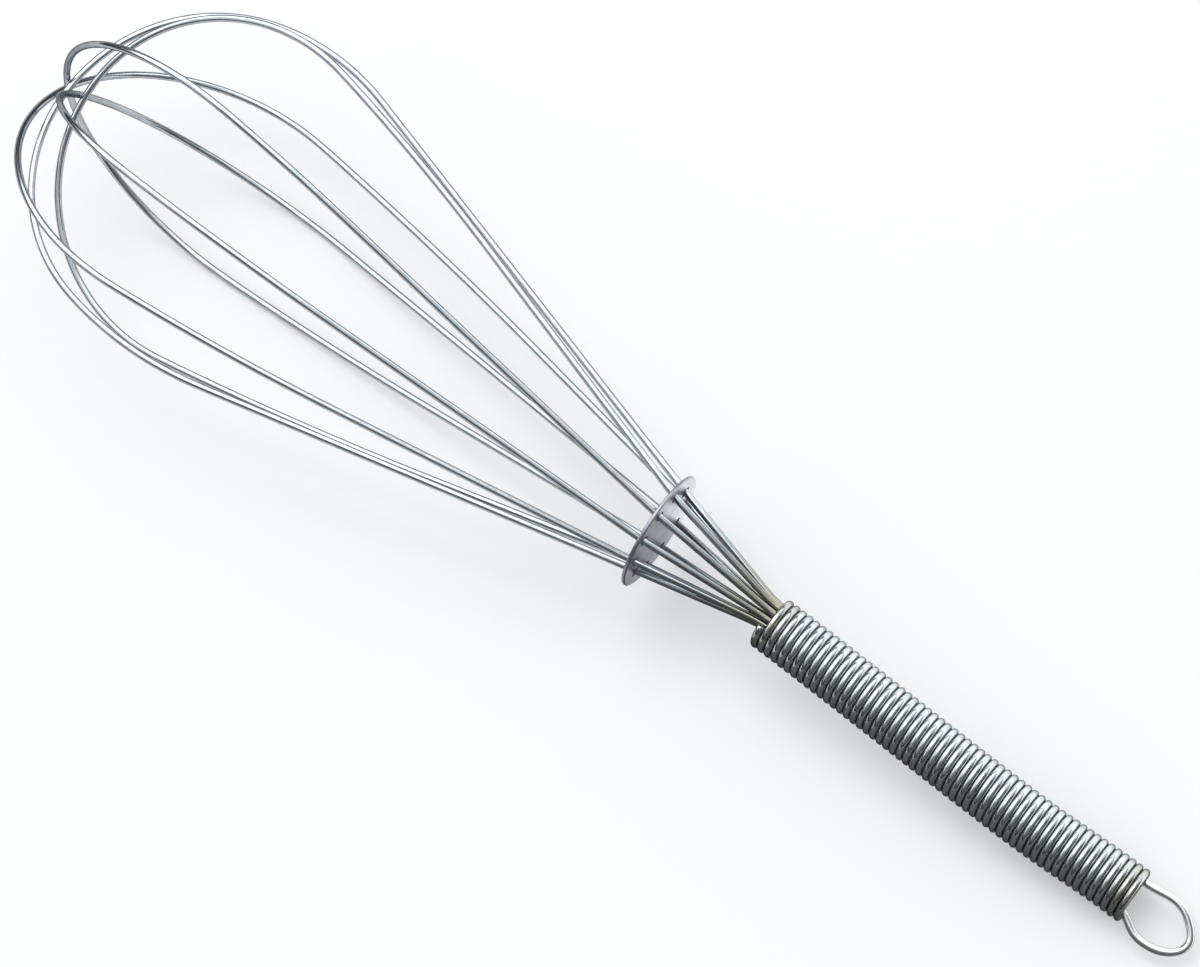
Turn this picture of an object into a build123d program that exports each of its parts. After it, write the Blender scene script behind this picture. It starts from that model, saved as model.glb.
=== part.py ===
from build123d import *
from collections import namedtuple
import math
import os

# Balloon whisk: five wire loops in a wound wire handle, spread by a drilled disc.
# Millimetres. It lies on a table with +Z up and +X along it, towards the tip.
# Pieces stand on the whisk's own plane: its Z is the balloon's axis, from the
# handle's mouth to the tip, and reach is measured along it from the mouth.

# Wire and plate
tine_wire = 1.6
hook_wire = 1.8
disc_thickness = 0.9
fit_gap = 0.1

# Balloon
balloon_length = 201.3
balloon_radius = 41.0
crossing_gap = 0.15
straight_run = 0.4
mouth_bend = 20.0
disc_bend = 25.0
leg_gap = 0.08

# Spreader disc
disc_diameter = 27.7
disc_reach = 30.5
disc_tilt = 4.2
hole_ring_radius = 10.12
hole_gap = 0.55
disc_edge = 0.3

# Handle coil, wound with a named gap between its turns
coil_diameter = 13.0
coil_pitch = 1.8
coil_gap = 0.45
coil_turns = 53
coil_start_angle = -20.0
coil_end_angle = -80.0

# Bar and pin that hold the legs inside the coil
leg_end_gap = 6.5
grip_recess = 6.0
pin_recess = 4.0
channel_floor = 1.0
core_recess = 1.0
core_edge = 0.5

# Hanging loop, out of the coil's rear end. The shares are of its reach past the
# coil and of its half width, and go round the eye from the upper leg.
hook_tail = 12.0
hook_reach = 15.2
hook_half_width = 6.5
leg_bend_share = 0.055
eye_shares = [(0.56, 0.82), (1.065, -0.18), (0.73, -0.98), (0.24, -1.05)]
bend_share = 0.47

# How the whisk lies: two wires of the balloon and the coil's rear end touch.
# The wires touch so far below the axis, and so far back from the tip, in
# shares of the balloon's radius.
rest_side_share = 0.9093
rest_back_share = 1.47
rest_roll = 13.4

# The loops, from the outermost at the tip to the innermost. The shares are of
# the balloon's radius, one for each side of the loop, and the shoulders lie so
# far back from the tip. Leans are shares of the way past the disc.
Loop = namedtuple(
    "Loop",
    "plane_angle crossing shoulder_shares shoulder_back_shares nose_shares "
    "lean_share drift_share",
)
loops = [
    Loop(-38.8, 0, (0.935, 0.881), (1.842, 2.065), (1.145, 1.223), -0.003, -0.033),
    Loop(21.5, 1, (0.926, 0.849), (1.584, 1.881), (1.148, 1.122), 0.007, 0.004),
    Loop(97.4, 2, (1.036, 0.990), (1.168, 1.282), (0.764, 0.781), 0.002, -0.003),
    Loop(-11.1, 4, (0.980, 1.063), (1.644, 1.270), (0.925, 0.674), 0.006, 0.001),
    Loop(75.4, 5, (0.841, 0.760), (1.965, 2.162), (1.174, 1.150), 0.006, -0.021),
]
hole_places = [0, 2, 4, 1, 3]
first_hole_angle = -57.4

# Worked-out sizes
leg_count = 2 * len(loops)
hole_step = 360 / leg_count
crossing_step = tine_wire + crossing_gap
ring_radius = (tine_wire + leg_gap) / 2 / math.sin(math.pi / leg_count)
bundle_radius = ring_radius + tine_wire / 2
bore_radius = coil_diameter / 2 - coil_pitch
handle_drop = bore_radius - bundle_radius - fit_gap
hook_leg_offset = bore_radius - hook_wire / 2 - fit_gap
coil_wire = coil_pitch - coil_gap
coil_radius = (coil_diameter - coil_wire) / 2
coil_sweep = coil_start_angle - coil_end_angle + 360 * (coil_turns + 1)
coil_length = coil_pitch * (1 + coil_sweep / 360)
grip_length = coil_length - hook_tail - leg_end_gap
core_radius = bore_radius - fit_gap
channel_half = bundle_radius + fit_gap

# The whisk's plane, tipped and rolled to its rest, and the handle's beside it
rest_side = rest_side_share * balloon_radius - coil_diameter / 2
rest_reach = balloon_length - rest_back_share * balloon_radius
pitch = math.atan2(rest_side, rest_reach + coil_length)
roll = math.radians(rest_roll)
whisk = Plane(
    (0, 0, 0),
    x_dir=(
        -math.sin(pitch) * math.cos(roll),
        math.sin(roll),
        math.cos(pitch) * math.cos(roll),
    ),
    z_dir=(math.cos(pitch), 0, math.sin(pitch)),
)
handle = Plane(
    whisk.from_local_coords(Vector(0, -handle_drop, 0)),
    x_dir=whisk.x_dir,
    z_dir=whisk.z_dir,
)


def turned(radius, angle, reach):
    """Local point at a radius, an angle in degrees and a reach."""
    turn = math.radians(angle)
    return Vector(radius * math.cos(turn), radius * math.sin(turn), reach)


def corner_radius(before, corner, after, tangent):
    """Radius of the fillet that leaves a corner's lines at a tangent length."""
    turn = math.radians((corner - before).get_angle(after - corner))
    return tangent / math.tan(turn / 2)


# Tine loops: one wire each, up from the grip, out through its two holes in the
# disc, round the tip and back.
def loop_corners(loop, hole_angle, half):
    """Corners of half 0 or 1 of a loop, from its end in the grip to its nose."""
    side = 1 - 2 * half
    out = turned(side, loop.plane_angle, 0)
    lean = turned(loop.lean_share, loop.plane_angle, 0)
    lean += turned(loop.drift_share, loop.plane_angle + 90, 0)
    hole = turned(side, hole_angle, 0)
    axis = Vector(0, 0, 1)

    def outline(share, reach):
        return out * (share * balloon_radius) + lean * (reach - disc_reach) + axis * reach

    shoulder_reach = balloon_length - loop.shoulder_back_shares[half] * balloon_radius
    nose_reach = balloon_length - loop.crossing * crossing_step
    return [
        hole * ring_radius - axis * grip_length,
        hole * ring_radius,
        hole * hole_ring_radius + axis * disc_reach,
        outline(loop.shoulder_shares[half], shoulder_reach),
        outline(loop.nose_shares[half], nose_reach),
    ]


def half_radii(corners, nose_half):
    """Fillet radii at the mouth, the disc, the shoulder and the nose."""
    hole, shoulder, nose, other_nose = corners[2:]
    side = (nose - shoulder).length
    nose_tangent = nose_half - straight_run / 2
    shoulder_tangent = side - nose_tangent - straight_run
    return [
        mouth_bend,
        disc_bend,
        corner_radius(hole, shoulder, nose, shoulder_tangent),
        corner_radius(shoulder, nose, other_nose, nose_tangent),
    ]


tine_loops = []
for loop, place in zip(loops, hole_places):
    hole_angle = first_hole_angle + place * hole_step
    near_half = loop_corners(loop, hole_angle, 0)
    far_half = loop_corners(loop, hole_angle, 1)
    nose_half = sum(loop.nose_shares) * balloon_radius / 2
    near_radii = half_radii(near_half + far_half[-1:], nose_half)
    far_radii = half_radii(far_half + near_half[-1:], nose_half)
    corners = near_half + far_half[::-1]
    with BuildPart() as tine_loop:
        with BuildLine() as wire_path:
            FilletPolyline(
                [whisk.from_local_coords(corner) for corner in corners],
                radius=near_radii + far_radii[::-1],
            )
        with BuildSketch(Plane(wire_path.line @ 0, z_dir=wire_path.line % 0)):
            Circle(tine_wire / 2)
        sweep(path=wire_path.line)
    tine_loops.append(tine_loop)

# Spreader disc: a plate with one hole for each leg, a little askew on the axis
tilt = math.radians(disc_tilt)
disc_plane = Plane(
    whisk.from_local_coords(Vector(0, 0, disc_reach)),
    x_dir=whisk.x_dir,
    z_dir=whisk.from_local_coords(Vector(0, -math.sin(tilt), math.cos(tilt))),
)
with BuildPart() as spreader_disc:
    with BuildSketch(disc_plane.offset(-disc_thickness / 2)):
        Circle(disc_diameter / 2)
        with PolarLocations(hole_ring_radius, leg_count, start_angle=first_hole_angle):
            Circle(tine_wire / 2 + hole_gap, mode=Mode.SUBTRACT)
    extrude(amount=disc_thickness)
    rims = spreader_disc.edges().filter_by(GeomType.CIRCLE).group_by(SortBy.RADIUS)[-1]
    fillet(rims, radius=disc_edge)


# Handle coil: one right-handed helix of biarcs, a quarter turn each
def helix_point(angle):
    """Point of the coil's centre line and its direction, at a wound angle."""
    place = turned(coil_radius, coil_start_angle - angle, 0)
    reach = -coil_pitch / 2 - coil_pitch * angle / 360
    turn = math.radians(coil_start_angle - angle)
    rise = coil_pitch / (2 * math.pi)
    heading = Vector(math.sin(turn), -math.cos(turn), -rise / coil_radius)
    start = handle.from_local_coords(Vector(place.X, place.Y, reach))
    ahead = handle.from_local_coords(Vector(place.X, place.Y, reach) + heading)
    return start, (ahead - start).normalized()


def biarc(start, start_heading, end, end_heading):
    """Two arcs that meet smoothly and keep both end headings."""
    chord = end - start
    both = start_heading + end_heading
    spread = 4 - both.dot(both)
    along = chord.dot(both)
    arm = (math.sqrt(along**2 + spread * chord.dot(chord)) - along) / spread
    first_corner = start + start_heading * arm
    second_corner = end - end_heading * arm
    middle = (first_corner + second_corner) / 2
    TangentArc(start, middle, tangent=start_heading)
    TangentArc(middle, end, tangent=second_corner - first_corner)


coil_spans = round(coil_sweep / 90)
with BuildPart() as handle_coil:
    with BuildLine() as coil_path:
        stations = [helix_point(coil_sweep * i / coil_spans) for i in range(coil_spans + 1)]
        first_point, first_heading = stations[0]
        last_point, last_heading = stations[-1]
        Line(first_point - first_heading * coil_wire, first_point)
        for before, after in zip(stations, stations[1:]):
            biarc(*before, *after)
        Line(last_point, last_point + last_heading * coil_wire)
    with BuildSketch(Plane(coil_path.line @ 0, z_dir=coil_path.line % 0)):
        Circle(coil_wire / 2)
    sweep(path=coil_path.line)


def least_gap(edges, diameter, turn_length):
    """Least gap between turns, on points along the centre line."""
    marks = 4
    points = []
    travelled = 0
    for edge in edges:
        for i in range(marks):
            points.append((edge @ (i / marks), travelled + edge.length * i / marks))
        travelled += edge.length
    window = math.ceil(2 * turn_length / (travelled / len(points)))
    least = math.inf
    for i, (point, place) in enumerate(points):
        for other, other_place in points[i + 1 : i + window]:
            if other_place - place > turn_length / 2:
                least = min(least, (other - point).length)
    return least - diameter


turn_length = 2 * math.pi * coil_radius
coil_edges = coil_path.line.edges()
print("coil least gap to itself", round(least_gap(coil_edges, coil_wire, turn_length), 3))

# Hanging loop: its two legs run up inside the coil, its eye lies behind
def hook_corner(out, side):
    """Point of the hanging loop's plane, so far behind the coil."""
    return Vector(0, side, -coil_length - out)


hook_corners = [
    hook_corner(-hook_tail, hook_leg_offset),
    hook_corner(leg_bend_share * hook_reach, hook_leg_offset),
    *[hook_corner(out * hook_reach, side * hook_half_width) for out, side in eye_shares],
    hook_corner(0, -hook_leg_offset),
    hook_corner(-hook_tail, -hook_leg_offset),
]
hook_radii = []
for before, corner, after in zip(hook_corners, hook_corners[1:], hook_corners[2:]):
    tangent = bend_share * min((corner - before).length, (after - corner).length)
    hook_radii.append(corner_radius(before, corner, after, tangent))
with BuildPart() as hanging_loop:
    with BuildLine() as hook_path:
        FilletPolyline(
            [handle.from_local_coords(corner) for corner in hook_corners],
            radius=hook_radii,
        )
    with BuildSketch(Plane(hook_path.line @ 0, z_dir=hook_path.line % 0)):
        Circle(hook_wire / 2)
    sweep(path=hook_path.line)

# Handle core: a bar in the coil's bore, with a channel for the legs' bundle
# and two side grooves for the hanging loop's legs
channel_end = -grip_length - channel_floor
core_end = core_recess - coil_length
groove_start = hook_tail + fit_gap - coil_length
groove_half = hook_wire / 2 + fit_gap
groove_inside = hook_leg_offset - groove_half
with BuildPart() as handle_core:
    with BuildSketch(handle.offset(core_end)):
        Circle(core_radius)
    extrude(amount=-grip_recess - core_end)
    ends = handle_core.edges().filter_by(GeomType.CIRCLE)
    chamfer(ends, length=core_edge)
    with BuildSketch(whisk.offset(channel_end)):
        Circle(channel_half)
        with Locations((0, channel_half)):
            Rectangle(2 * channel_half, 2 * channel_half)
    extrude(amount=-channel_end, mode=Mode.SUBTRACT)
    with BuildSketch(handle.offset(core_end)):
        for side in (1, -1):
            with Locations((0, side * (groove_inside + core_radius) / 2)):
                Rectangle(2 * groove_half, core_radius - groove_inside)
    extrude(amount=groove_start - core_end, mode=Mode.SUBTRACT)

# Leg pin: the rod in the middle of the ring of legs
with BuildPart() as leg_pin:
    with BuildSketch(whisk.offset(-grip_length)):
        Circle(ring_radius - tine_wire / 2 - fit_gap)
    extrude(amount=grip_length - pin_recess)

# Seat the whisk so that its box's bottom centre is the origin, and write it
pieces = {f"tine_loop_{i + 1}": piece for i, piece in enumerate(tine_loops)}
pieces["spreader_disc"] = spreader_disc
pieces["handle_coil"] = handle_coil
pieces["hanging_loop"] = hanging_loop
pieces["handle_core"] = handle_core
pieces["leg_pin"] = leg_pin
boxes = [piece.part.bounding_box() for piece in pieces.values()]
low = [min(tuple(box.min)[i] for box in boxes) for i in range(3)]
high = [max(tuple(box.max)[i] for box in boxes) for i in range(3)]
seat = Location((-(low[0] + high[0]) / 2, -(low[1] + high[1]) / 2, -low[2]))
print("mouth of the handle at", seat.position)

os.makedirs("parts", exist_ok=True)
for name, piece in pieces.items():
    piece.part.label = name
    export_step(piece.part.moved(seat), f"parts/{name}.step")
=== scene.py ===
import bpy
import math
from collections import namedtuple
from mathutils import Matrix, Vector


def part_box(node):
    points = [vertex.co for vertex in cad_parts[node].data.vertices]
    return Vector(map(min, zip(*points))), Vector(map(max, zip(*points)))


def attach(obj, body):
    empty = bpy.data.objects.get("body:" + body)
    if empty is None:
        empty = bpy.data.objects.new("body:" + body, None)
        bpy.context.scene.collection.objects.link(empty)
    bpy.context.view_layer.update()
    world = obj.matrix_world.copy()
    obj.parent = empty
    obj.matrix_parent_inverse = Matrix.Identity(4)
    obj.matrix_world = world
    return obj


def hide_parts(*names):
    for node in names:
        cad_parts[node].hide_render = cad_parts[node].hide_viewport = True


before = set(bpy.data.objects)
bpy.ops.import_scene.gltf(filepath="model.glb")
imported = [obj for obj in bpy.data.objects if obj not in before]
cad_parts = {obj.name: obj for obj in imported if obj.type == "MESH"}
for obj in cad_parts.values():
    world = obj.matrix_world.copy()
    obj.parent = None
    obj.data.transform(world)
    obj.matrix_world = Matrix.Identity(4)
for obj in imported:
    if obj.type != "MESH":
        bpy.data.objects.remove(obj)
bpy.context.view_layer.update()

# Balloon whisk: five wire loops in a close-wound wire handle, lying on a pale floor.
# Metres. Local points are (x, y, reach): reach runs along the balloon's axis from
# the handle's mouth to the tip.
MM = 0.001

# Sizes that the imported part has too
tine_wire = 1.6 * MM
hook_wire = 1.8 * MM
coil_wire = 1.8 * MM
coil_diameter = 13.0 * MM
disc_reach = 30.5 * MM
hole_ring_radius = 10.12 * MM
balloon_length = 201.3 * MM
balloon_radius = 41.0 * MM
crossing_gap = 0.15 * MM
leg_gap = 0.08 * MM
fit_gap = 0.1 * MM
leg_end_gap = 6.5 * MM
hook_tail = 12.0 * MM
mouth_bend = 20.0 * MM
disc_bend = 25.0 * MM
straight_run = 0.4 * MM
coil_turns = 53
coil_start_angle = -20.0
coil_end_angle = -80.0
rest_side_share = 0.9093
rest_back_share = 1.47
rest_roll = math.radians(13.4)

Loop = namedtuple(
    "Loop",
    "plane_angle crossing shoulder_shares shoulder_back_shares nose_shares "
    "lean_share drift_share",
)
loops = [
    Loop(-38.8, 0, (0.935, 0.881), (1.842, 2.065), (1.145, 1.223), -0.003, -0.033),
    Loop(21.5, 1, (0.926, 0.849), (1.584, 1.881), (1.148, 1.122), 0.007, 0.004),
    Loop(97.4, 2, (1.036, 0.990), (1.168, 1.282), (0.764, 0.781), 0.002, -0.003),
    Loop(-11.1, 4, (0.980, 1.063), (1.644, 1.270), (0.925, 0.674), 0.006, 0.001),
    Loop(75.4, 5, (0.841, 0.760), (1.965, 2.162), (1.174, 1.150), 0.006, -0.021),
]
hole_places = [0, 2, 4, 1, 3]
first_hole_angle = -57.4

# The wound handle's slight bow, as shares of its length and of the bow's depth
bow_depth = 0.9 * MM
bow_shares = [(0, 0.2), (0.7, 1.0), (0.97, 0.0), (1.0, 0.0)]

# Meshes: steps along a wire, sides round it, and how far and often joints are eased
tine_step = 1 * MM
tine_sides = 20
tine_ease = (2, 2)
coil_steps = 48
coil_sides = 20
hook_step = 0.5 * MM
hook_sides = 24
hook_ease = (2, 4)
cap_share = 0.3
turn_share = 0.995
straight_turn = 1e-4

# Worked-out sizes
leg_count = 2 * len(loops)
ring_radius = (tine_wire + leg_gap) / 2 / math.sin(math.pi / leg_count)
bore_radius = coil_diameter / 2 - coil_wire
handle_drop = bore_radius - ring_radius - tine_wire / 2 - fit_gap
coil_radius = (coil_diameter - coil_wire) / 2
coil_sweep = coil_start_angle - coil_end_angle + 360 * (coil_turns + 1)
coil_length = coil_wire * (1 + coil_sweep / 360)
grip_length = coil_length - hook_tail - leg_end_gap
hook_leg_offset = bore_radius - hook_wire / 2 - fit_gap
rest_side = rest_side_share * balloon_radius - coil_diameter / 2
rest_reach = balloon_length - rest_back_share * balloon_radius
rest_pitch = math.atan2(rest_side, rest_reach + coil_length)

# The whisk's frame in the scene, placed by the disc's centre
along = Vector((math.cos(rest_pitch), 0, math.sin(rest_pitch)))
facing = Vector((
    -math.sin(rest_pitch) * math.cos(rest_roll),
    math.sin(rest_roll),
    math.cos(rest_pitch) * math.cos(rest_roll),
))
aside = along.cross(facing)
disc_low, disc_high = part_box("spreader_disc")
mouth = (disc_low + disc_high) / 2 - along * disc_reach


def whisk(point):
    """Scene point of a local point on the balloon's axis frame."""
    return mouth + facing * point[0] + aside * point[1] + along * point[2]


def handle_bow(reach):
    """How far the wound handle sags to its side, at a reach."""
    place = -reach / coil_length
    for (start, low), (end, high) in zip(bow_shares, bow_shares[1:]):
        if start <= place <= end:
            blend = (1 - math.cos(math.pi * (place - start) / (end - start))) / 2
            return bow_depth * (low + (high - low) * blend)
    return 0.0


def handle(point, bowed=False):
    """Scene point of a local point on the handle's axis frame."""
    bow = handle_bow(point[2]) if bowed else 0.0
    return whisk((point[0], point[1] - handle_drop - bow, point[2]))


# Paths of wires
def arc_points(before, corner, after, tangent, step):
    """Points of the fillet that starts a tangent length from a corner."""
    inward = (corner - before).normalized()
    outward = (after - corner).normalized()
    turn = inward.angle(outward)
    start = corner - inward * tangent
    if turn < straight_turn:
        return [start, corner + outward * tangent]
    radius = tangent / math.tan(turn / 2)
    toward = (outward - inward * math.cos(turn)).normalized()
    count = max(2, math.ceil(radius * turn / step))
    points = []
    for i in range(count + 1):
        swung = turn * i / count
        points.append(
            start + inward * radius * math.sin(swung) + toward * radius * (1 - math.cos(swung))
        )
    return points


def even_points(points, step):
    """The same line with points about a step apart."""
    lengths = [(b - a).length for a, b in zip(points, points[1:])]
    total = sum(lengths)
    count = math.ceil(total / step)
    spaced = []
    place, done = 0, 0.0
    for i in range(count + 1):
        target = total * i / count
        while place < len(lengths) - 1 and done + lengths[place] < target:
            done += lengths[place]
            place += 1
        share = (target - done) / lengths[place] if lengths[place] else 0
        spaced.append(points[place].lerp(points[place + 1], min(1, share)))
    return spaced


def eased(points, reach, passes):
    """Soften the joints between arcs and runs, with the ends kept."""
    for _ in range(passes):
        middle = [
            points[i] * 0.5 + (points[i - reach] + points[i + reach]) * 0.25
            for i in range(reach, len(points) - reach)
        ]
        points = points[:reach] + middle + points[-reach:]
    return points


def fillet_line(corners, tangents, step):
    """Line through corners, each rounded over its tangent length."""
    points = [corners[0]]
    for before, corner, after, tangent in zip(corners, corners[1:], corners[2:], tangents):
        points += arc_points(before, corner, after, tangent, step)
    return points + [corners[-1]]


def polar(radius, degrees, reach=0.0):
    """Point at a radius, an angle in degrees and a reach."""
    turn = math.radians(degrees)
    return Vector((radius * math.cos(turn), radius * math.sin(turn), reach))


def loop_corners(loop, hole_angle, half):
    """Corners of half 0 or 1 of a loop, from its end in the grip to its nose."""
    side = 1 - 2 * half
    out = polar(side, loop.plane_angle)
    lean = polar(loop.lean_share, loop.plane_angle)
    lean += polar(loop.drift_share, loop.plane_angle + 90)
    hole = polar(side, hole_angle)
    axis = Vector((0, 0, 1))

    def outline(share, reach):
        return out * (share * balloon_radius) + lean * (reach - disc_reach) + axis * reach

    shoulder_reach = balloon_length - loop.shoulder_back_shares[half] * balloon_radius
    nose_reach = balloon_length - loop.crossing * (tine_wire + crossing_gap)
    return [
        hole * ring_radius - axis * grip_length,
        hole * ring_radius,
        hole * hole_ring_radius + axis * disc_reach,
        outline(loop.shoulder_shares[half], shoulder_reach),
        outline(loop.nose_shares[half], nose_reach),
    ]


def half_tangents(corners, nose_half):
    """Tangent lengths at the mouth, the disc, the shoulder and the nose."""
    grip_end, ring, hole, shoulder, nose = corners
    mouth_turn = (ring - grip_end).angle(hole - ring)
    disc_turn = (hole - ring).angle(shoulder - hole)
    nose_tangent = nose_half - straight_run / 2
    return [
        mouth_bend * math.tan(mouth_turn / 2),
        disc_bend * math.tan(disc_turn / 2),
        (nose - shoulder).length - nose_tangent - straight_run,
        nose_tangent,
    ]


# Meshes of wires
def tube(name, centres, radius, sides, outward=None):
    """Round wire along scene points, with eased ends and two maps along it.

    The map "wire" runs along it in mm and round it from 0 to 1, where 0 faces
    outward if that is given. The map "ends" has the mm to the nearer end.
    """
    last = len(centres) - 1
    places = [0.0]
    for here, ahead in zip(centres, centres[1:]):
        places.append(places[-1] + (ahead - here).length)
    total = places[-1]
    normal = (centres[1] - centres[0]).orthogonal().normalized()
    rings = []
    for i, here in enumerate(centres):
        heading = (centres[min(i + 1, last)] - centres[max(i - 1, 0)]).normalized()
        if outward:
            normal = outward[i]
        normal = (normal - heading * normal.dot(heading)).normalized()
        rings.append((here, heading, normal, places[i], radius))
    cap = radius * cap_share
    here, heading, normal, place, _ = rings[0]
    front = (here - heading * cap, heading, normal, place - cap, radius - cap)
    here, heading, normal, place, _ = rings[-1]
    back = (here + heading * cap, heading, normal, place + cap, radius - cap)
    rings = [front, *rings, back]
    vertices, faces = [], []
    for here, heading, normal, _, size in rings:
        binormal = heading.cross(normal)
        for j in range(sides):
            turn = 2 * math.pi * j / sides
            vertices.append(here + (normal * math.cos(turn) + binormal * math.sin(turn)) * size)
    for i in range(len(rings) - 1):
        low, high = i * sides, (i + 1) * sides
        for j in range(sides):
            k = (j + 1) % sides
            faces.append((low + j, low + k, high + k, high + j))
    faces.append(tuple(range(sides))[::-1])
    faces.append(tuple(range(len(vertices) - sides, len(vertices))))
    mesh = bpy.data.meshes.new(name)
    mesh.from_pydata([tuple(v) for v in vertices], [], faces)
    wire_map, end_map = [], []
    for number in range((len(rings) - 1) * sides):
        i, j = divmod(number, sides)
        for ring, side in ((i, j), (i, j + 1), (i + 1, j + 1), (i + 1, j)):
            place = rings[ring][3]
            wire_map += (place / MM, side / sides)
            end_map += (min(place, total - place) / MM, side / sides)
    for place in (rings[0][3], rings[-1][3]):
        wire_map += (place / MM, 0) * sides
        end_map += (0, 0) * sides
    mesh.uv_layers.new(name="wire").data.foreach_set("uv", wire_map)
    mesh.uv_layers.new(name="ends").data.foreach_set("uv", end_map)
    smooth = [True] * (len(mesh.polygons) - 2) + [False] * 2
    mesh.polygons.foreach_set("use_smooth", smooth)
    piece = bpy.data.objects.new(name, mesh)
    bpy.context.scene.collection.objects.link(piece)
    return piece


# Materials
class Shade:
    """A node material with short calls for its nodes and links."""

    def __init__(self, name):
        self.material = bpy.data.materials.new(name)
        self.material.use_nodes = True
        self.tree = self.material.node_tree
        self.tree.nodes.clear()
        self.surface = self.add("ShaderNodeBsdfPrincipled")
        output = self.add("ShaderNodeOutputMaterial")
        self.join(self.surface, "BSDF", output, "Surface")

    def add(self, kind, **settings):
        node = self.tree.nodes.new(kind)
        for key, value in settings.items():
            setattr(node, key, value)
        return node

    def join(self, source, out, target, into):
        self.tree.links.new(source.outputs[out], target.inputs[into])

    def noise(self, source, out, scale, detail, roughness):
        node = self.add("ShaderNodeTexNoise")
        node.inputs["Scale"].default_value = scale
        node.inputs["Detail"].default_value = detail
        node.inputs["Roughness"].default_value = roughness
        self.join(source, out, node, "Vector")
        return node

    def ramp(self, source, out, stops):
        node = self.add("ShaderNodeValToRGB")
        points = node.color_ramp.elements
        while len(points) < len(stops):
            points.new(0.5)
        for point, (place, colour) in zip(points, stops):
            point.position = place
            point.color = (*colour, 1)
        self.join(source, out, node, "Fac")
        return node

    def spread(self, source, out, low, high, start=0.0, end=1.0):
        """A value from start to end, sent to a range from low to high."""
        node = self.add("ShaderNodeMapRange")
        node.inputs["From Min"].default_value = start
        node.inputs["From Max"].default_value = end
        node.inputs["To Min"].default_value = low
        node.inputs["To Max"].default_value = high
        self.join(source, out, node, "Value")
        return node

    def maths(self, operation, source, out, other=None, other_out=None, value=0.0):
        node = self.add("ShaderNodeMath", operation=operation)
        self.join(source, out, node, 0)
        if other:
            self.join(other, other_out, node, 1)
        else:
            node.inputs[1].default_value = value
        return node

    def tinted(self, colour_source, out, mask, mask_out, colour):
        """The colour, mixed with another one by a mask."""
        node = self.add("ShaderNodeMix", data_type="RGBA")
        node.inputs["B"].default_value = (*colour, 1)
        self.join(mask, mask_out, node, "Factor")
        self.join(colour_source, out, node, "A")
        return node

    def stretched(self, source, out, scale):
        node = self.add("ShaderNodeMapping")
        node.inputs["Scale"].default_value = scale
        self.join(source, out, node, "Vector")
        return node

    def bump(self, source, out, strength, distance):
        node = self.add("ShaderNodeBump")
        node.inputs["Strength"].default_value = strength
        node.inputs["Distance"].default_value = distance
        self.join(source, out, node, "Height")
        self.join(node, "Normal", self.surface, "Normal")


# Brownish tint by the wires' ends: partly a stain, partly a painted reflection
stain_and_reflection_colour = (0.27, 0.23, 0.14)
# Painted shade: a grey-blue darkening of the legs past the brownish tint, towards the disc
painted_shade_colour = (0.20, 0.235, 0.245)
painted_shade_reach = 18
# Painted shade: a near-black colour on a wound wire's sides, where its turns meet
painted_turn_shade_colour = (0.035, 0.034, 0.03)
painted_turn_shade_level = 0.92
painted_turn_shade_band = (0.12, 0.45)
wire_edge_tint = (0.18, 0.19, 0.2)


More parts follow.
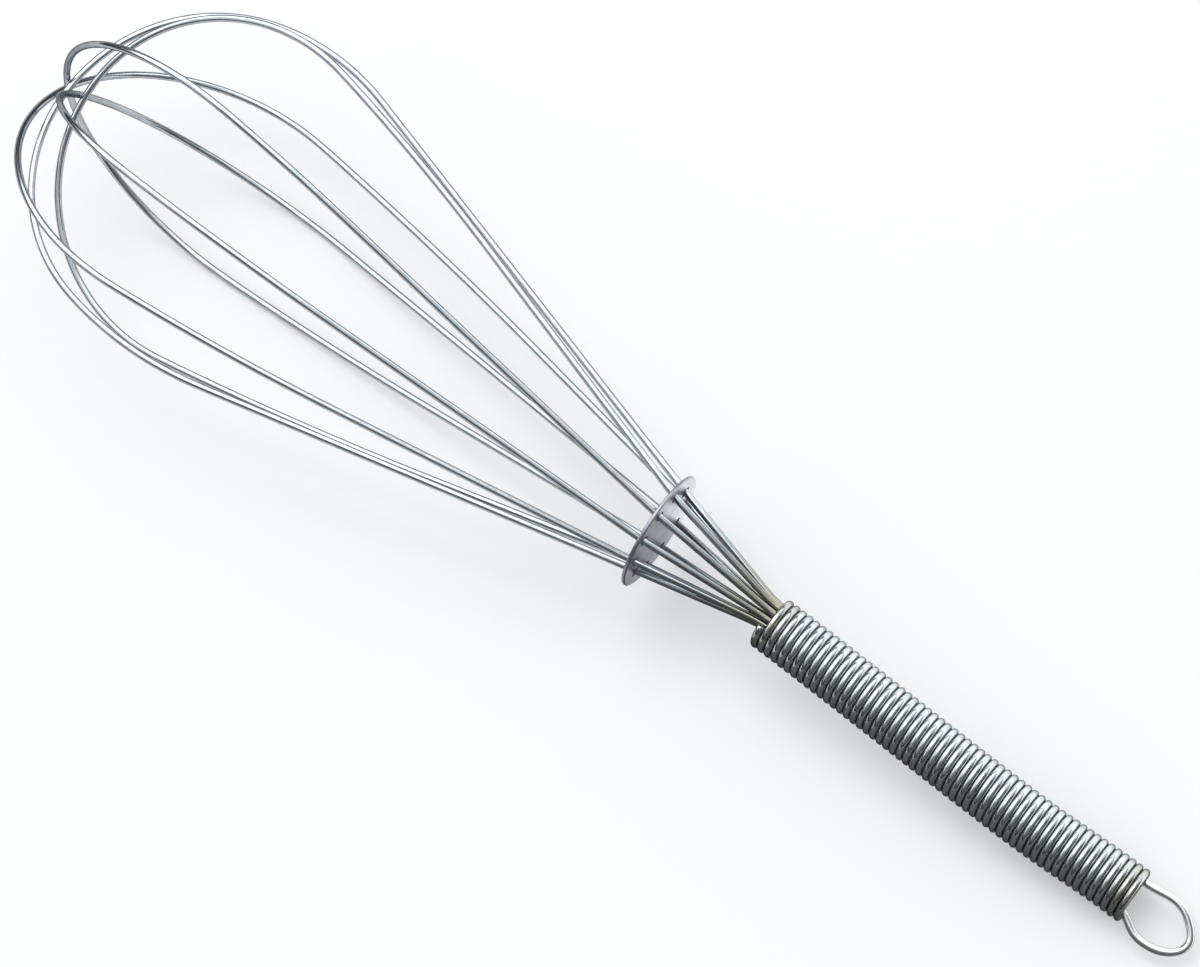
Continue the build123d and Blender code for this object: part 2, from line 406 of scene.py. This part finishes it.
def wire_metal(
    name, pale, dull, low, high, stain_and_reflection_ends, stain_and_reflection_level, painted_shade_level=0.0, wound=False
):
    """Drawn wire: fine lines along it, cloudy patches and a brownish tint by its ends, partly a
    stain and partly a painted reflection.

    A grey-blue painted shade reaches farther from the ends than the brownish tint does. A wound
    wire also has painted shade, a near-black colour where its turns meet.
    """
    shade = Shade(name)
    shade.surface.inputs["Metallic"].default_value = 1.0
    shade.surface.inputs["Specular Tint"].default_value = (*wire_edge_tint, 1)
    uv = shade.add("ShaderNodeUVMap", uv_map="wire")
    drawn = shade.stretched(uv, "UV", (0.12, 26, 1))
    lines = shade.noise(drawn, "Vector", 1.0, 4.0, 0.6)
    cloud_map = shade.stretched(uv, "UV", (0.25, 1.5, 1))
    clouds = shade.noise(cloud_map, "Vector", 1.0, 3.0, 0.55)
    tone = shade.ramp(clouds, "Fac", [(0.3, dull), (0.62, pale)])
    ends = shade.add("ShaderNodeUVMap", uv_map="ends")
    end_parts = shade.add("ShaderNodeSeparateXYZ")
    shade.join(ends, "UV", end_parts, "Vector")
    near = shade.spread(end_parts, "X", stain_and_reflection_level, 0.0, *stain_and_reflection_ends)
    patch_map = shade.stretched(uv, "UV", (0.4, 3, 1))
    patches = shade.noise(patch_map, "Vector", 1.0, 4.0, 0.6)
    patchy = shade.spread(patches, "Fac", 0.2, 1.0, 0.3, 0.65)
    # Brownish tint near the ends, partly a stain and partly a painted reflection
    stain_and_reflection = shade.maths("MULTIPLY", near, "Result", patchy, "Result")
    # Painted shade on the legs beyond the brownish tint
    painted_shade_ends = (stain_and_reflection_ends[1], stain_and_reflection_ends[1] + painted_shade_reach)
    painted_shade = shade.spread(end_parts, "X", painted_shade_level, 0.0, *painted_shade_ends)
    painted_shade_tone = shade.tinted(tone, "Color", painted_shade, "Result", painted_shade_colour)
    colour = shade.tinted(painted_shade_tone, "Result", stain_and_reflection, "Value", stain_and_reflection_colour)
    rough, rough_out = shade.spread(clouds, "Fac", high, low), "Result"
    if wound:
        parts = shade.add("ShaderNodeSeparateXYZ")
        shade.join(uv, "UV", parts, "Vector")
        turn = shade.maths("MULTIPLY", parts, "Y", value=2 * math.pi)
        facing_out = shade.maths("COSINE", turn, "Value")
        level = shade.maths("ABSOLUTE", facing_out, "Value")
        # Painted shade between the coil's turns, darkest on the wire's sides where the turns
        # meet
        painted_turn_shade = shade.spread(level, "Value", painted_turn_shade_level, 0.0, *painted_turn_shade_band)
        colour = shade.tinted(colour, "Result", painted_turn_shade, "Result", painted_turn_shade_colour)
        rough, rough_out = shade.maths("ADD", rough, "Result", painted_turn_shade, "Result"), "Value"
    shade.join(colour, "Result", shade.surface, "Base Color")
    shade.join(rough, rough_out, shade.surface, "Roughness")
    shade.bump(lines, "Fac", 0.12, 0.00002)
    return shade.material


def plate_metal(name):
    """Satin pressed plate: fine grain and soft blotches."""
    shade = Shade(name)
    shade.surface.inputs["Metallic"].default_value = 1.0
    place = shade.add("ShaderNodeTexCoord")
    grain = shade.noise(place, "Object", 2600, 4.0, 0.7)
    blotch = shade.noise(place, "Object", 170, 3.0, 0.5)
    tone = shade.ramp(
        blotch, "Fac",
        [(0.3, (0.24, 0.27, 0.28)), (0.5, (0.31, 0.30, 0.34)), (0.7, (0.38, 0.40, 0.44))],
    )
    shade.join(tone, "Color", shade.surface, "Base Color")
    rough = shade.spread(grain, "Fac", 0.3, 0.46)
    shade.join(rough, "Result", shade.surface, "Roughness")
    shade.bump(grain, "Fac", 0.2, 0.00003)
    return shade.material


def hidden_metal(name):
    """Plain drawn steel of the pieces inside the handle."""
    shade = Shade(name)
    shade.surface.inputs["Metallic"].default_value = 1.0
    place = shade.add("ShaderNodeTexCoord")
    grain = shade.noise(place, "Object", 900, 4.0, 0.6)
    tone = shade.ramp(grain, "Fac", [(0.3, (0.16, 0.15, 0.13)), (0.7, (0.3, 0.28, 0.25))])
    shade.join(tone, "Color", shade.surface, "Base Color")
    rough = shade.spread(grain, "Fac", 0.4, 0.6)
    shade.join(rough, "Result", shade.surface, "Roughness")
    shade.bump(grain, "Fac", 0.2, 0.00003)
    return shade.material


# The brownish tint, partly a stain and partly a painted reflection, fades out between these mm
# from a wire's ends, for the legs past the mouth
leg_stain_and_reflection_past_mouth = (3, 18)
grip_stain_and_reflection = tuple(grip_length / MM + past for past in leg_stain_and_reflection_past_mouth)
coil_stain_and_reflection = (40, 110)
hook_stain_and_reflection = (8, 14)
tine_metal = wire_metal(
    "tine_wire", (0.54, 0.57, 0.59), (0.41, 0.45, 0.48), 0.10, 0.22, grip_stain_and_reflection, 0.8, 0.75
)
coil_metal = wire_metal(
    "coil_wire", (0.54, 0.57, 0.58), (0.42, 0.45, 0.46), 0.14, 0.26, coil_stain_and_reflection, 0.6, 0.0, True
)
hook_metal = wire_metal(
    "hook_wire", (0.80, 0.81, 0.81), (0.64, 0.66, 0.67), 0.12, 0.24, hook_stain_and_reflection, 0.5
)
disc_metal = plate_metal("disc_plate")
inner_metal = hidden_metal("inner_steel")


def finish_piece(piece, metal, slot, *nodes):
    piece.data.materials.append(metal)
    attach(piece, "root")
    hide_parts(*nodes)


# Tine loops
for number, (loop, place) in enumerate(zip(loops, hole_places), start=1):
    hole_angle = first_hole_angle + place * 360 / leg_count
    near_half = loop_corners(loop, hole_angle, 0)
    far_half = loop_corners(loop, hole_angle, 1)
    nose_half = sum(loop.nose_shares) * balloon_radius / 2
    tangents = half_tangents(near_half, nose_half) + half_tangents(far_half, nose_half)[::-1]
    line = fillet_line(near_half + far_half[::-1], tangents, tine_step)
    line = eased(even_points(line, tine_step), *tine_ease)
    piece = tube(f"tine_{number}", [whisk(p) for p in line], tine_wire / 2, tine_sides)
    finish_piece(piece, tine_metal, "tine_wire", f"tine_loop_{number}")

# Handle coil: close-wound
helix, outward = [], []
count = round(coil_sweep / 360 * coil_steps)
for i in range(count + 1):
    wound = coil_sweep * i / count
    reach = -coil_wire / 2 - coil_wire * wound / 360
    here = handle(polar(coil_radius, coil_start_angle - wound, reach), True)
    helix.append(here)
    outward.append((here - handle((0, 0, reach), True)).normalized())
winding = tube("handle_winding", helix, coil_wire / 2 * turn_share, coil_sides, outward)
finish_piece(winding, coil_metal, "coil_wire", "handle_coil")

# Hanging loop
hook_reach = 15.2 * MM
hook_half_width = 6.5 * MM
leg_bend_share = 0.055
eye_shares = [(0.56, 0.82), (1.065, -0.18), (0.73, -0.98), (0.24, -1.05)]
bend_share = 0.47


def hook_corner(out, side):
    return Vector((0, side, -coil_length - out))


hook_corners = [
    hook_corner(-hook_tail, hook_leg_offset),
    hook_corner(leg_bend_share * hook_reach, hook_leg_offset),
    *[hook_corner(out * hook_reach, side * hook_half_width) for out, side in eye_shares],
    hook_corner(0, -hook_leg_offset),
    hook_corner(-hook_tail, -hook_leg_offset),
]
hook_tangents = [
    bend_share * min((b - a).length, (c - b).length)
    for a, b, c in zip(hook_corners, hook_corners[1:], hook_corners[2:])
]
hook_line = fillet_line(hook_corners, hook_tangents, hook_step)
hook_line = eased(even_points(hook_line, hook_step), *hook_ease)
hook = tube("hanging_eye", [handle(p) for p in hook_line], hook_wire / 2, hook_sides)
finish_piece(hook, hook_metal, "hook_wire", "hanging_loop")

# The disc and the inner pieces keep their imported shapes
for node, metal in (
    ("spreader_disc", disc_metal),
    ("handle_core", inner_metal),
    ("leg_pin", inner_metal),
):
    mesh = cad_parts[node].data
    mesh.materials.clear()
    mesh.materials.append(metal)

# Camera: the photo's view, as pixels of its 1200 x 967 frame at the mouth's depth
view_turn = math.radians(37.09)
view_tilt = math.radians(11.97)
photo_width = 1200
photo_middle = (600, 483.5)
mouth_pixel = (769.8, 614.9)
pixel_distance = 5300
pixel_size = 0.215 * MM
sensor_width = 36.0


def image_axis(along_part, aside_part, facing_part):
    """Scene direction with these parts along the whisk's three axes."""
    return along * along_part + aside * aside_part + facing * facing_part


right = image_axis(
    -math.cos(view_turn) * math.cos(view_tilt),
    math.sin(view_turn),
    -math.cos(view_turn) * math.sin(view_tilt),
)
down = image_axis(
    -math.sin(view_turn) * math.cos(view_tilt),
    -math.cos(view_turn),
    -math.sin(view_turn) * math.sin(view_tilt),
)
away = image_axis(math.sin(view_tilt), 0, -math.cos(view_tilt))
eye = mouth + pixel_size * (
    right * (photo_middle[0] - mouth_pixel[0])
    + down * (photo_middle[1] - mouth_pixel[1])
    - away * pixel_distance
)
camera_data = bpy.data.cameras.new("camera")
camera_data.sensor_width = sensor_width
camera_data.lens = sensor_width * pixel_distance / photo_width
camera_data.clip_start = 0.01
camera_data.clip_end = 20
camera = bpy.data.objects.new("camera", camera_data)
camera_turn = Matrix((right, -down, -away)).transposed().to_4x4()
camera.matrix_world = Matrix.Translation(eye) @ camera_turn
bpy.context.scene.collection.objects.link(camera)
bpy.context.scene.camera = camera


# Floor, cards, world and lamp
def staged(name, vertices, faces, material):
    """A piece of the studio, which isn't part of the whisk."""
    mesh = bpy.data.meshes.new(name)
    mesh.from_pydata([tuple(v) for v in vertices], [], faces)
    mesh.materials.append(material)
    item = bpy.data.objects.new(name, mesh)
    bpy.context.scene.collection.objects.link(item)
    return item


def floor_paint(colour, glow):
    """Matt pale floor, lifted to white where the camera or a gloss sees it."""
    material = bpy.data.materials.new("floor")
    material.use_nodes = True
    tree = material.node_tree
    tree.nodes.clear()
    diffuse = tree.nodes.new("ShaderNodeBsdfDiffuse")
    diffuse.inputs["Color"].default_value = (colour, colour, colour, 1)
    path = tree.nodes.new("ShaderNodeLightPath")
    source = path.outputs["Is Camera Ray"]
    for ray in ("Is Glossy Ray", "Is Transmission Ray"):
        either = tree.nodes.new("ShaderNodeMath")
        either.operation = "MAXIMUM"
        tree.links.new(source, either.inputs[0])
        tree.links.new(path.outputs[ray], either.inputs[1])
        source = either.outputs[0]
    level = tree.nodes.new("ShaderNodeMath")
    level.operation = "MULTIPLY"
    level.inputs[1].default_value = glow
    tree.links.new(source, level.inputs[0])
    emission = tree.nodes.new("ShaderNodeEmission")
    tree.links.new(level.outputs[0], emission.inputs["Strength"])
    both = tree.nodes.new("ShaderNodeAddShader")
    tree.links.new(diffuse.outputs[0], both.inputs[0])
    tree.links.new(emission.outputs[0], both.inputs[1])
    output = tree.nodes.new("ShaderNodeOutputMaterial")
    tree.links.new(both.outputs[0], output.inputs["Surface"])
    return material


def card_paint(name, colour):
    """Plain card that shines evenly at a colour."""
    material = bpy.data.materials.new(name)
    material.use_nodes = True
    tree = material.node_tree
    tree.nodes.clear()
    emission = tree.nodes.new("ShaderNodeEmission")
    emission.inputs["Color"].default_value = (*colour, 1)
    output = tree.nodes.new("ShaderNodeOutputMaterial")
    tree.links.new(emission.outputs[0], output.inputs["Surface"])
    return material


floor_half = 0.8
floor_colour = 0.55
floor_glow = 0.24
staged(
    "floor",
    [(-floor_half, -floor_half, 0), (floor_half, -floor_half, 0),
     (floor_half, floor_half, 0), (-floor_half, floor_half, 0)],
    [(0, 1, 2, 3)],
    floor_paint(floor_colour, floor_glow),
)

toward_eye = math.degrees(math.atan2(-away.y, -away.x))


def gloss_card(name, vertices, faces, colour):
    """Card that only the metal's gloss sees: it neither shows nor shades the floor."""
    item = staged(name, vertices, faces, card_paint(name, colour))
    item.visible_camera = False
    item.visible_diffuse = False
    item.visible_shadow = False


def card(name, turns, heights, radius, colour):
    """Bent card round the whisk, between two bearings and two heights in degrees.

    Bearings are taken from the camera's side.
    """
    across_count, up_count = 24, 8
    vertices, faces = [], []
    for i in range(across_count + 1):
        bearing = toward_eye + turns[0] + (turns[1] - turns[0]) * i / across_count
        for j in range(up_count + 1):
            height = math.radians(heights[0] + (heights[1] - heights[0]) * j / up_count)
            vertices.append(
                polar(radius * math.cos(height), bearing, radius * math.sin(height))
            )
    for i in range(across_count):
        for j in range(up_count):
            first = i * (up_count + 1) + j
            faces.append((first, first + 1, first + up_count + 2, first + up_count + 1))
    gloss_card(name, vertices, faces, colour)


def side_card(name, inner, outer, colour):
    """Flat card beside the handle, between an inner and an outer (y, z) line."""
    rear, front = -0.24, -0.01
    vertices = [(rear, *inner), (front, *inner), (front, *outer), (rear, *outer)]
    gloss_card(name, vertices, [(0, 1, 2, 3)], colour)


card("low_card", (0, 360), (0, 24), 0.62, (0.10, 0.105, 0.11))
card("dark_card", (0, 360), (2, 9), 0.60, (0.02, 0.02, 0.022))
card("near_card", (-75, 75), (24, 60), 0.62, (0.24, 0.25, 0.25))
card("far_card", (105, 255), (16, 52), 0.62, (2.1, 2.13, 2.18))
side_card("dark_side_card", (0.010, 0.0005), (0.30, 0.0005), (0.17, 0.185, 0.19))
side_card("bright_side_card", (-0.008, 0.0005), (-0.26, 0.11), (1.9, 1.93, 1.98))

world = bpy.data.worlds.new("studio")
world.use_nodes = True
bpy.context.scene.world = world
background = world.node_tree.nodes["Background"]
background.inputs["Color"].default_value = (1.0, 1.02, 1.06, 1)


def softbox(name, bearing, height, distance, size, brightness):
    """Square area lamp over the whisk, at a bearing from the camera's side."""
    lamp = bpy.data.lights.new(name, "AREA")
    lamp.size = size
    lamp.energy = brightness * math.pi * size * size
    item = bpy.data.objects.new(name, lamp)
    rise = math.radians(height)
    item.location = polar(
        distance * math.cos(rise), toward_eye + bearing, distance * math.sin(rise)
    )
    item.rotation_euler = (-item.location).to_track_quat("-Z", "Y").to_euler()
    bpy.context.scene.collection.objects.link(item)


softbox("key", 180, 74, 1.0, 0.75, 2.6)

bpy.context.scene.view_settings.view_transform = "Standard"
